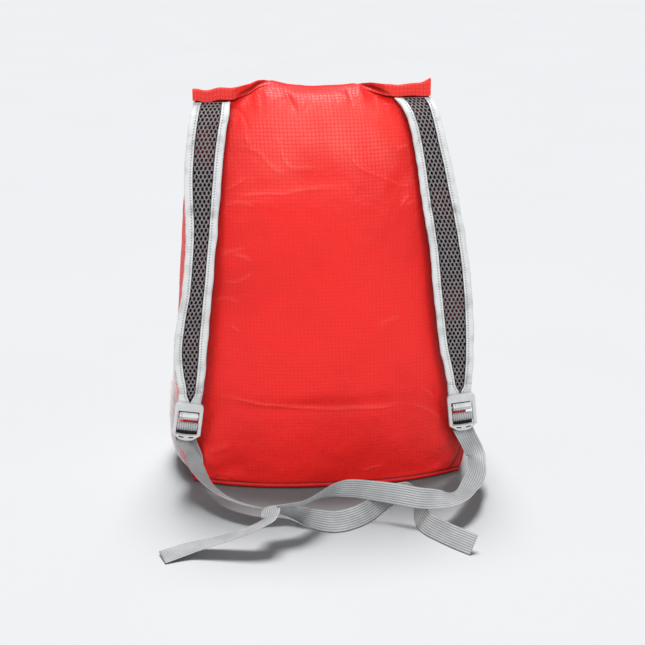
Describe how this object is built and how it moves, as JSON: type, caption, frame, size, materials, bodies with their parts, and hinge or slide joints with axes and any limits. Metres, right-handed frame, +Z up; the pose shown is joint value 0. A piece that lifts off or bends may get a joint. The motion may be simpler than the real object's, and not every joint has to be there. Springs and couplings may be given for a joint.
{
  "type": "packable backpack",
  "caption": "Lightweight packable day backpack with mesh shoulder straps, ladder-lock buckles, loose webbing tails and a net side pocket.",
  "frame": {"origin": "underside of the bottom panel, midway between the side panels as the bag stands", "axes": "+Z up along the bag's height, +X to the right seen from the strap side, -Y out of the strap side"},
  "size_m": [0.3264, 0.3036, 0.4003],
  "materials": {
    "ripstop": "thin woven cloth with a fine check of thicker threads, slightly shiny",
    "air_mesh": "open knitted spacer mesh with honeycomb holes",
    "binding": "plain folded tape, matte, stitched",
    "plastic": "satin moulded plastic",
    "webbing": "ribbed woven webbing, matte",
    "net": "fine open net"
  },
  "bodies": {
    "root": {"back_panel": "ripstop", "right_side_panel": "ripstop", "front_panel": "ripstop", "left_side_panel": "ripstop", "bottom_panel": "ripstop", "top_band": "ripstop", "left_side_pocket": "net", "left_strap_mesh": "air_mesh", "left_outer_binding": "binding", "left_inner_binding": "binding", "left_strap_tab": "binding", "left_webbing": "webbing", "left_buckle": "plastic", "right_strap_mesh": "air_mesh", "right_outer_binding": "binding", "right_inner_binding": "binding", "right_strap_tab": "binding", "right_webbing": "webbing", "right_buckle": "plastic"}
  },
  "joints": []
}
